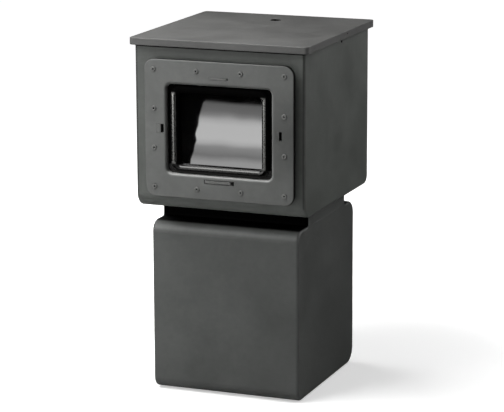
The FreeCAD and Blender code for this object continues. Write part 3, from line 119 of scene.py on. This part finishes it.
def glowing(name, colour, strength):
    mat = bpy.data.materials.new(name)
    mat.use_nodes = True
    shader = mat.node_tree.nodes["Principled BSDF"]
    shader.inputs["Base Color"].default_value = (*colour, 1)
    shader.inputs["Roughness"].default_value = 0.9
    shader.inputs["Specular IOR Level"].default_value = 0.0
    shader.inputs["Emission Color"].default_value = (1, 1, 1, 1)
    shader.inputs["Emission Strength"].default_value = strength
    return mat


def stage_mesh(name, points, faces, mat):
    mesh = bpy.data.meshes.new(name)
    mesh.from_pydata(points, [], faces)
    mesh.materials.append(mat)
    obj = bpy.data.objects.new(name, mesh)
    scene.collection.objects.link(obj)
    return obj


# metres: half the floor's and the room's widths, the room's height, and the distances from the
# middle between which the floor's glow rises. The glow has no unit.
FLOOR_HALF = 24.0
ROOM_HALF = 23.0
ROOM_HEIGHT = 30
GLOW_REACH = (0.75, 1.65)
FLOOR_GLOW = (0.42, 1.08)
ROOM_GLOW = 1.02
PALE = (0.8, 0.8, 0.8)


def sheet_of_floor(name, z, mat):
    half = FLOOR_HALF
    points = [(-half, -half, z), (half, -half, z), (half, half, z), (-half, half, z)]
    return stage_mesh(name, points, [(0, 1, 2, 3)], mat)


def floor():
    """A glowing floor and room that only the camera sees. A hidden floor bounces the light."""
    pale = glowing("pale_floor", PALE, 1.0)
    g = Graph("pale_floor", pale)
    reach = g.add("ShaderNodeVectorMath", operation="LENGTH")
    g.link(g.coord, reach.inputs[0])
    glow = g.span(reach.outputs["Value"], *GLOW_REACH, *FLOOR_GLOW)
    g.link(g.mix(glow, (0.0, 0.0, 0.0), (1.0, 1.0, 1.0)), g.bsdf.inputs["Emission Color"])
    ground = sheet_of_floor("floor", 0, pale)
    ground.visible_diffuse = False
    ground.visible_glossy = False
    ground.visible_shadow = False
    bounce = sheet_of_floor("floor_bounce", -0.002, glowing("bounce_floor", PALE, 0.0))
    bounce.visible_camera = False
    bounce.visible_glossy = False
    corners = [(x, y, z) for z in (-0.5, ROOM_HEIGHT) for y in (-ROOM_HALF, ROOM_HALF)
               for x in (-ROOM_HALF, ROOM_HALF)]
    walls = [(0, 1, 5, 4), (1, 3, 7, 5), (3, 2, 6, 7), (2, 0, 4, 6), (4, 5, 7, 6)]
    room = stage_mesh("room", corners, walls, glowing("pale_room", (0.0, 0.0, 0.0), ROOM_GLOW))
    room.visible_diffuse = False
    room.visible_glossy = False
    room.visible_shadow = False


# A glowing sheet on the floor in front, which only reflections see: a painted reflection, seen in
# the window glass. REFLECTION_SHEET_EDGE is its curved left edge and REFLECTION_SHEET_RIGHT its
# right one. REFLECTION_SHEET_GLOW gives its glow along REFLECTION_SHEET_LENGTH.
REFLECTION_SHEET_EDGE = [(-1.86, -4.66), (-1.82, -4.5), (-1.71, -4.2), (-1.63, -4.0), (-1.565, -3.81),
              (-1.505, -3.68), (-1.465, -3.56), (-1.42, -3.44), (-1.375, -3.3), (-1.335, -3.2),
              (-1.30, -3.1)]
REFLECTION_SHEET_RIGHT = -0.7
REFLECTION_SHEET_HEIGHT = 0.001
REFLECTION_SHEET_LENGTH = 1.5
REFLECTION_SHEET_POWER = 3.7
REFLECTION_SHEET_GLOW = [(0.0, 0.0), (0.05, 0.0), (0.1, 0.1), (0.22, 0.125), (0.28, 0.19), (0.35, 0.36),
              (0.42, 0.43), (0.62, 0.44), (0.68, 0.37), (0.73, 0.22), (0.84, 0.15), (0.93, 0.28)]


def reflection_sheet():
    points = []
    for x, y in REFLECTION_SHEET_EDGE:
        points += [(x, y, REFLECTION_SHEET_HEIGHT), (REFLECTION_SHEET_RIGHT, y, REFLECTION_SHEET_HEIGHT)]
    faces = [(2 * i, 2 * i + 1, 2 * i + 3, 2 * i + 2) for i in range(len(REFLECTION_SHEET_EDGE) - 1)]
    g = Graph("reflection_sheet")
    g.bsdf.inputs["Base Color"].default_value = (0, 0, 0, 1)
    g.bsdf.inputs["Specular IOR Level"].default_value = 0.0
    split = g.add("ShaderNodeSeparateXYZ")
    g.link(g.coord, split.inputs[0])
    ramp = g.add("ShaderNodeValToRGB")
    stops = ramp.color_ramp.elements
    while len(stops) > 1:
        stops.remove(stops[-1])
    stops[0].position = 0.0
    stops[0].color = (0, 0, 0, 1)
    for place, glow in REFLECTION_SHEET_GLOW[1:]:
        stop = stops.new(place)
        stop.color = (glow, glow, glow, 1)
    g.link(g.span(split.outputs["Y"], REFLECTION_SHEET_EDGE[0][1], REFLECTION_SHEET_EDGE[0][1] + REFLECTION_SHEET_LENGTH, 0, 1),
           ramp.inputs[0])
    g.link(ramp.outputs[0], g.bsdf.inputs["Emission Color"])
    g.bsdf.inputs["Emission Strength"].default_value = REFLECTION_SHEET_POWER
    sheet = stage_mesh("reflection_sheet", points, faces, g.mat)
    sheet.visible_camera = False
    sheet.visible_diffuse = False
    sheet.visible_shadow = False


# ---- materials ----------------------------------------------------------------------
class Graph:
    """A small helper that adds and links shader nodes."""

    def __init__(self, name, mat=None):
        self.mat = mat or bpy.data.materials.new(name)
        self.mat.use_nodes = True
        self.tree = self.mat.node_tree
        self.bsdf = self.tree.nodes["Principled BSDF"]
        self.coord = self.tree.nodes.new("ShaderNodeTexCoord").outputs["Object"]

    def add(self, kind, **values):
        node = self.tree.nodes.new(kind)
        for key, value in values.items():
            setattr(node, key, value)
        return node

    def link(self, a, b):
        self.tree.links.new(a, b)

    def noise(self, scale, detail=2.0, rough=0.5):
        node = self.add("ShaderNodeTexNoise")
        node.inputs["Scale"].default_value = scale
        node.inputs["Detail"].default_value = detail
        node.inputs["Roughness"].default_value = rough
        self.link(self.coord, node.inputs["Vector"])
        return node.outputs["Fac"]

    def span(self, value, a, b, low, high):
        node = self.add("ShaderNodeMapRange")
        node.inputs["From Min"].default_value = a
        node.inputs["From Max"].default_value = b
        node.inputs["To Min"].default_value = low
        node.inputs["To Max"].default_value = high
        self.link(value, node.inputs["Value"])
        return node.outputs["Result"]

    def mix(self, fac, a, b):
        node = self.add("ShaderNodeMix", data_type="RGBA")
        sockets = {s.identifier: s for s in node.inputs}
        for ident, value in (("Factor_Float", fac), ("A_Color", a), ("B_Color", b)):
            socket = sockets[ident]
            if isinstance(value, (tuple, float, int)):
                socket.default_value = value if isinstance(value, (float, int)) else (*value, 1)
            else:
                self.link(value, socket)
        return [s for s in node.outputs if s.identifier == "Result_Color"][0]

    def math(self, op, a, b):
        node = self.add("ShaderNodeMath", operation=op)
        for i, value in enumerate((a, b)):
            if isinstance(value, (float, int)):
                node.inputs[i].default_value = value
            else:
                self.link(value, node.inputs[i])
        return node.outputs[0]

    def times(self, a, b):
        return self.math("MULTIPLY", a, b)

    def rest(self, mask):
        """1 where the mask is 0, and the other way round."""
        return self.math("SUBTRACT", 1.0, mask)

    def bump(self, height, strength, distance, normal=None):
        node = self.add("ShaderNodeBump")
        node.inputs["Strength"].default_value = strength
        node.inputs["Distance"].default_value = distance
        self.link(height, node.inputs["Height"])
        if normal is not None:
            self.link(normal, node.inputs["Normal"])
        return node.outputs["Normal"]

    def axes(self):
        """X, Y and Z of the point, in metres."""
        split = self.add("ShaderNodeSeparateXYZ")
        self.link(self.coord, split.inputs[0])
        return [split.outputs[i] for i in range(3)]

    def off(self, value, middle):
        """Distance of a coordinate from middle."""
        return self.math("ABSOLUTE", self.math("SUBTRACT", value, middle), 0.0)

    def beyond(self, value, edge, soft=0.0006):
        """1 where the value is over edge, 0 where it is under."""
        return self.span(value, edge - soft, edge + soft, 0.0, 1.0)

    def worn(self, radius):
        """1 along outer and inner edges, 0 on flats, broken up by noise."""
        bevel = self.bevel(radius)
        flat = self.add("ShaderNodeNewGeometry").outputs["Normal"]
        dot = self.add("ShaderNodeVectorMath", operation="DOT_PRODUCT")
        self.link(bevel, dot.inputs[0])
        self.link(flat, dot.inputs[1])
        edge = self.span(self.rest(dot.outputs["Value"]), 0.03, 0.12, 0.0, 1.0)
        return self.times(edge, self.span(self.noise(160.0, 3.0, 0.6), 0.4, 0.62, 0.25, 1.0))

    def bevel(self, radius):
        node = self.add("ShaderNodeBevel", samples=4)
        node.inputs["Radius"].default_value = radius
        return node.outputs["Normal"]


# paint: how far the clouds stray from the tone, and how strong the orange peel is
CLOUD_SPREAD = 0.1
ORANGE_PEEL = 0.12

# metres: how far the painted shade of the neck reaches down from the pedestal's top, the place of
# the hole in the top plate and the reach of its painted shade, and the middle-to-edge reach of the
# door's parts, which bound the painted shade and highlights on the door
NECK_DEPTH = 0.0455
TOP_HOLE_Y = 0.167
TOP_HOLE_BLACK = 0.0158
DOOR_RIM = (0.205, 0.17)
DOOR_SLOTS = (0.165, 0.134)
LEFT_ROD = (-0.1412, -0.1265)
RIGHT_ROD = (0.12, 0.1345)
ROD_HEIGHT = (-0.094, 0.098)
LOWER_BEAD = (-0.1128, -0.0985)


def between(g, value, low, high, soft=0.0008):
    """1 where the value lies between low and high."""
    return g.times(g.beyond(value, low, soft), g.rest(g.beyond(value, high, soft)))


def paint(name, colour, rough=0.45, specular=0.5, shade=None, black=None, wear=None, lips=None):
    """Sprayed heat-resistant paint: fine orange peel, faint clouds in tone and sheen.

    shade and black take the graph and give a factor for the tone, which paints light and shade, and
    the places painted black as shade.
    wear is the tone that worn edges show. lips gives pairs of a mask and the tone painted there as
    highlight or shade.
    """
    g = Graph(name)
    clouds = g.noise(7.0, 3.0, 0.6)
    grain = g.noise(1400.0, 2.0, 0.6)
    dark = tuple(c * (1 - CLOUD_SPREAD) for c in colour)
    light = tuple(c * (1 + CLOUD_SPREAD) for c in colour)
    tone = g.mix(g.span(clouds, 0.35, 0.65, 0, 1), dark, light)
    speckle = g.span(grain, 0.62, 0.8, 0.0, 0.25)
    tone = g.mix(speckle, tone, tuple(min(1, c * 1.9) for c in colour))
    blotch = g.span(g.noise(48.0, 5.0, 0.72), 0.36, 0.64, 0.0, 1.0)
    tone = g.mix(g.times(blotch, 0.2), tone, tuple(c * 0.5 for c in colour))
    sheen = g.span(clouds, 0.3, 0.7, rough - 0.05, rough + 0.06)
    if wear is not None:
        tone = g.mix(g.worn(0.0012), tone, wear)
    if lips is not None:
        for mask, lip_tone in lips(g):
            tone = g.mix(mask, tone, lip_tone)
    if shade is not None:
        tone = g.mix(shade(g), (0.0, 0.0, 0.0), tone)
    if black is not None:
        mask = black(g)
        tone = g.mix(mask, tone, BLACK)
        g.link(mask, g.bsdf.inputs["Metallic"])
    g.link(tone, g.bsdf.inputs["Base Color"])
    g.link(sheen, g.bsdf.inputs["Roughness"])
    g.bsdf.inputs["Specular IOR Level"].default_value = specular
    normal = g.bevel(0.0008)
    normal = g.bump(g.noise(420.0, 2.0, 0.55), ORANGE_PEEL, 0.0006, normal)
    g.link(normal, g.bsdf.inputs["Normal"])
    return g.mat


BLACK = (0.0018, 0.0018, 0.0018)       # painted shade: black in recesses, gaps and holes, and on the window frame's unlit parts
LIP_BELOW = (0.27, 0.272, 0.265)       # painted highlight on the window's lip below and right of the pane, painted shade left of it
LIP_RIGHT = (0.23, 0.232, 0.226)
LIP_LEFT = (0.045, 0.046, 0.044)
ROD_HIGHLIGHT_IRON = (0.27, 0.27, 0.26)       # the window's bead: painted highlights on its rods and its lower rod, and its flange
LOWER_IRON = (0.045, 0.045, 0.044)
FLANGE_IRON = (0.03, 0.03, 0.029)


def recess_black(g):
    """Painted shade: black on the front of the neck and the top of the pedestal under it, but not
    the neck's sides.
    """
    _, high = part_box("pedestal_shell")
    x, _, z = g.axes()
    top = g.beyond(z, high[2] - NECK_DEPTH, 0.0015)
    return g.times(top, g.beyond(g.times(g.off(x, 0.0), -1.0), 0.001 - high[0]))


def door_offsets(g):
    """Depth behind the door plate's face, and the offsets right of and above its middle."""
    low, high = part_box("door_plate")
    x, y, z = g.axes()
    return (g.math("SUBTRACT", y, low[1]), g.math("SUBTRACT", x, (low[0] + high[0]) / 2),
            g.math("SUBTRACT", z, (low[2] + high[2]) / 2))


def body_shade(g):
    """Painted light and shade on the body: its front lighter under the door than over it and right
    of the door, its sides darker, and painted shade along the front's rounded side edges.
    """
    low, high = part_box("body_shell")
    x, y, z = g.axes()
    rise = g.span(z, low[2] + 0.02, high[2] - 0.02, 0.9, 0.72)
    beside = g.times(g.beyond(x, 0.212, 0.008), 0.1)
    front = g.rest(g.beyond(y, low[1] + 0.002, 0.001))
    side = g.times(g.rest(front), 0.82)
    tone = g.math("ADD", g.times(front, g.math("ADD", rise, beside)), side)
    edge_shade = g.times(between(g, g.off(x, 0.0), high[0] - 0.0072, high[0] - 0.0014, 0.0012), front)
    return g.times(tone, g.rest(g.times(edge_shade, 0.62)))


def body_black(g):
    """Painted shadow line under the top plate's overhang."""
    _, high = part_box("body_shell")
    return g.beyond(g.axes()[2], high[2] - 0.0045, 0.0008)


def pedestal_shade(g):
    """Painted light and shade on the pedestal: its front lightest high on the left, its sides
    darker, and a painted highlight on the bend at the top of its front.
    """
    low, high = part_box("pedestal_shell")
    x, y, z = g.axes()
    rise = g.span(z, low[2] + 0.2, low[2] + 0.42, 0.88, 0.98)
    across = g.span(x, low[0] + 0.1, high[0], 1.0, 0.88)
    front = g.rest(g.beyond(y, low[1] + 0.004, 0.002))
    side = g.times(g.rest(front), 0.88)
    tone = g.math("ADD", g.times(front, g.times(rise, across)), side)
    bend = between(g, z, high[2] - 0.066, high[2] - NECK_DEPTH + 0.0005, 0.004)
    shoulder = g.times(bend, g.rest(g.beyond(y, 0.0)))
    inner = g.rest(g.beyond(g.off(x, 0.0), high[0] - 0.006, 0.002))
    shoulder = g.times(shoulder, inner)
    return g.times(tone, g.math("ADD", 0.55, g.times(shoulder, 0.45)))


def plate_edge_black(g):
    """Painted shade: black on the door plate's outer edges and the walls of its slots."""
    depth, right, up = door_offsets(g)
    across = g.off(right, 0.0)
    upright = g.off(up, 0.0)
    rim = g.math("MAXIMUM", g.beyond(across, DOOR_RIM[0]), g.beyond(upright, DOOR_RIM[1]))
    slots = g.math("MAXIMUM", g.beyond(across, DOOR_SLOTS[0]), g.beyond(upright, DOOR_SLOTS[1]))
    return g.math("MAXIMUM", g.times(g.beyond(depth, 0.0026), rim),
                  g.times(g.beyond(depth, 0.0011, 0.0004), slots))


def window_lips(g):
    """Painted highlight on the window's rounded lip below and right of the pane, and painted shade
    on its left.
    """
    depth, right, up = door_offsets(g)
    behind = g.beyond(depth, 0.0012, 0.001)
    across = g.off(right, 0.0)
    upright = g.off(up, 0.0)
    near = g.times(g.rest(g.beyond(across, 0.163)), g.rest(g.beyond(upright, 0.134)))
    near = g.times(near, behind)
    below = g.times(near, g.beyond(g.times(up, -1.0), 0.118, 0.003))
    side = g.times(near, g.rest(g.beyond(upright, 0.119, 0.003)))
    return [(below, LIP_BELOW),
            (g.times(side, g.beyond(right, 0.12)), LIP_RIGHT),
            (g.times(side, g.beyond(g.times(right, -1.0), 0.12)), LIP_LEFT)]


def door_shade(g):
    """Painted shade on the door plate: darker towards the latch side, most near the lug."""
    low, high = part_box("door_plate")
    x, _, z = g.axes()
    across = g.span(x, low[0], high[0], 1.0, 0.78)
    middle = g.span(g.off(z, (low[2] + high[2]) / 2), 0.0, 0.13, 0.62, 1.0)
    right = g.span(x, low[0] + 0.3, high[0] - 0.03, 0.0, 1.0)
    patch = g.rest(g.times(right, g.rest(middle)))
    return g.times(across, patch)


def socket_black(g):
    """Painted shade: black on the floor of the bolts' hexagon sockets."""
    low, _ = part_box("door_bolts")
    return g.beyond(g.axes()[1], low[1] + 0.0021, 0.0002)


def hole_black(g):
    """Painted shade: black on the wall of the hole in the top plate."""
    x, y, _ = g.axes()
    across = g.times(x, x)
    along = g.math("SUBTRACT", y, TOP_HOLE_Y)
    reach = g.math("SQRT", g.math("ADD", across, g.times(along, along)), 0.0)
    return g.beyond(g.times(reach, -1.0), -TOP_HOLE_BLACK, 0.0005)


def top_shade(g):
    """Painted shade: the top plate is darkest towards its right rear corner, and along its edges.
    """
    _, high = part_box("top_plate")
    x, y, z = g.axes()
    rear = g.math("ADD", g.times(x, 0.6), y)
    rim = g.span(z, high[2] - 0.003, high[2] - 0.001, 0.74, 1.0)
    end = g.beyond(g.off(x, 0.0), high[0] - 0.0015, 0.0008)
    rim = g.math("MAXIMUM", rim, end)
    return g.times(g.span(rear, -0.15, 0.3, 1.0, 0.73), rim)


def window_bead(name):
    """Black iron frame with painted highlights: its two upright beads are bright metal only where
    highlights fall, and the lower one a little; elsewhere it is black without sheen, as painted
    shade.
    """
    g = Graph(name)
    _, right, up = door_offsets(g)
    rods = g.math("MAXIMUM", between(g, right, *LEFT_ROD), between(g, right, *RIGHT_ROD))
    rods = g.times(rods, between(g, up, *ROD_HEIGHT, 0.004))
    below = between(g, up, *LOWER_BEAD, 0.0005)
    flange = g.rest(g.beyond(up, -0.1148, 0.003))
    highlight_break = g.span(g.noise(40.0, 3.0, 0.6), 0.35, 0.7, 0.88, 1.0)
    tone = g.mix(flange, BLACK, FLANGE_IRON)
    tone = g.mix(below, tone, LOWER_IRON)
    tone = g.mix(g.times(rods, highlight_break), tone, ROD_HIGHLIGHT_IRON)
    g.link(tone, g.bsdf.inputs["Base Color"])
    g.link(g.math("MAXIMUM", rods, below), g.bsdf.inputs["Metallic"])
    g.bsdf.inputs["Specular IOR Level"].default_value = 0.0
    g.link(g.span(g.noise(60.0, 3.0), 0.3, 0.7, 0.24, 0.3), g.bsdf.inputs["Roughness"])
    return g.mat


def metal(name, colour, rough):
    """Bare metal with a fine broken grain."""
    g = Graph(name)
    brush = g.noise(900.0, 3.0, 0.6)
    g.link(g.mix(brush, tuple(c * 0.75 for c in colour), tuple(c * 1.2 for c in colour)),
           g.bsdf.inputs["Base Color"])
    g.bsdf.inputs["Metallic"].default_value = 1.0
    g.link(g.span(brush, 0.3, 0.7, rough - 0.08, rough + 0.1), g.bsdf.inputs["Roughness"])
    g.link(g.bump(brush, 0.15, 0.0002, g.bevel(0.0004)), g.bsdf.inputs["Normal"])
    return g.mat


def soot(name, colour, rough=0.85):
    """Matt and rough: sooted steel, iron, brick, wool and rope."""
    g = Graph(name)
    clouds = g.span(g.noise(30.0, 4.0, 0.7), 0.35, 0.65, 0, 1)
    g.link(g.mix(clouds, tuple(c * 0.5 for c in colour), colour), g.bsdf.inputs["Base Color"])
    g.bsdf.inputs["Roughness"].default_value = rough
    g.link(g.bump(g.noise(350.0, 4.0, 0.7), 0.4, 0.0008), g.bsdf.inputs["Normal"])
    return g.mat


def glass(name):
    """Dark opaque glass with a faint haze and a slight wave, which mirrors strongly."""
    g = Graph(name)
    haze = g.span(g.noise(14.0, 4.0, 0.6), 0.45, 0.75, 0.0, 1.0)
    tone = g.mix(haze, (0.0015, 0.0015, 0.0015), (0.004, 0.0038, 0.0035))
    g.link(tone, g.bsdf.inputs["Base Color"])
    g.link(g.span(haze, 0.0, 1.0, 0.015, 0.03), g.bsdf.inputs["Roughness"])
    g.bsdf.inputs["IOR"].default_value = 3.2
    g.bsdf.inputs["Transmission Weight"].default_value = 0.0
    g.link(g.bump(g.noise(9.0, 1.0), 0.05, 0.002), g.bsdf.inputs["Normal"])
    return g.mat


PEDESTAL_NODES = ("pedestal_shell", "pedestal_rear_panel")


def dress():
    """Gives each piece the material of its slot. The pedestal has a paint of its own, whose lighter
    base tone its painted shade takes back everywhere but the painted highlight on its front bend.
    """
    by_slot = {
        "body_paint": paint("body_paint", (0.111, 0.119, 0.110), shade=body_shade,
                            black=body_black),
        "pedestal_paint": paint("pedestal_paint", (0.160, 0.167, 0.160), shade=pedestal_shade,
                                black=recess_black),
        "top_paint": paint("top_paint", (0.112, 0.112, 0.109), shade=top_shade, black=hole_black),
        "door_paint": paint("door_paint", (0.117, 0.121, 0.116), shade=door_shade,
                            black=plate_edge_black, wear=(0.16, 0.165, 0.16), lips=window_lips),
        "bolt_paint": paint("bolt_paint", (0.125, 0.128, 0.122), rough=0.32, black=socket_black,
                            wear=(0.2, 0.2, 0.195)),
        "frame_paint": paint("frame_paint", (0.006, 0.006, 0.006), rough=0.7, specular=0.2),
        "enamel": window_bead("enamel"),
        "slider_paint": paint("slider_paint", (0.118, 0.121, 0.116), wear=(0.25, 0.25, 0.24)),
        "screw_steel": metal("screw_steel", (0.45, 0.45, 0.45), 0.35),
        "dark_screws": metal("dark_screws", (0.03, 0.03, 0.03), 0.4),
        "inner_steel": soot("inner_steel", (0.02, 0.02, 0.02)),
        "iron": soot("iron", (0.03, 0.03, 0.031), 0.7),
        "duct_aluminium": metal("duct_aluminium", (0.6, 0.6, 0.6), 0.35),
        "brass": metal("brass", (0.6, 0.42, 0.16), 0.3),
        "brick": soot("brick", (0.30, 0.25, 0.18)),
        "wool": soot("wool", (0.5, 0.45, 0.35)),
        "rope": soot("rope", (0.02, 0.02, 0.02), 0.95),
        "glass": glass("glass"),
    }
    slot_of = {s["node"]: s["material_slot"] for s in frame["record"]["subparts"]}
    for name, obj in nodes.items():
        obj.data.materials.clear()
        slot = "pedestal_paint" if name in PEDESTAL_NODES else slot_of[name]
        obj.data.materials.append(by_slot[slot])


make_camera()
lights()
floor()
reflection_sheet()
dress()
scene.view_settings.view_transform = "Standard"
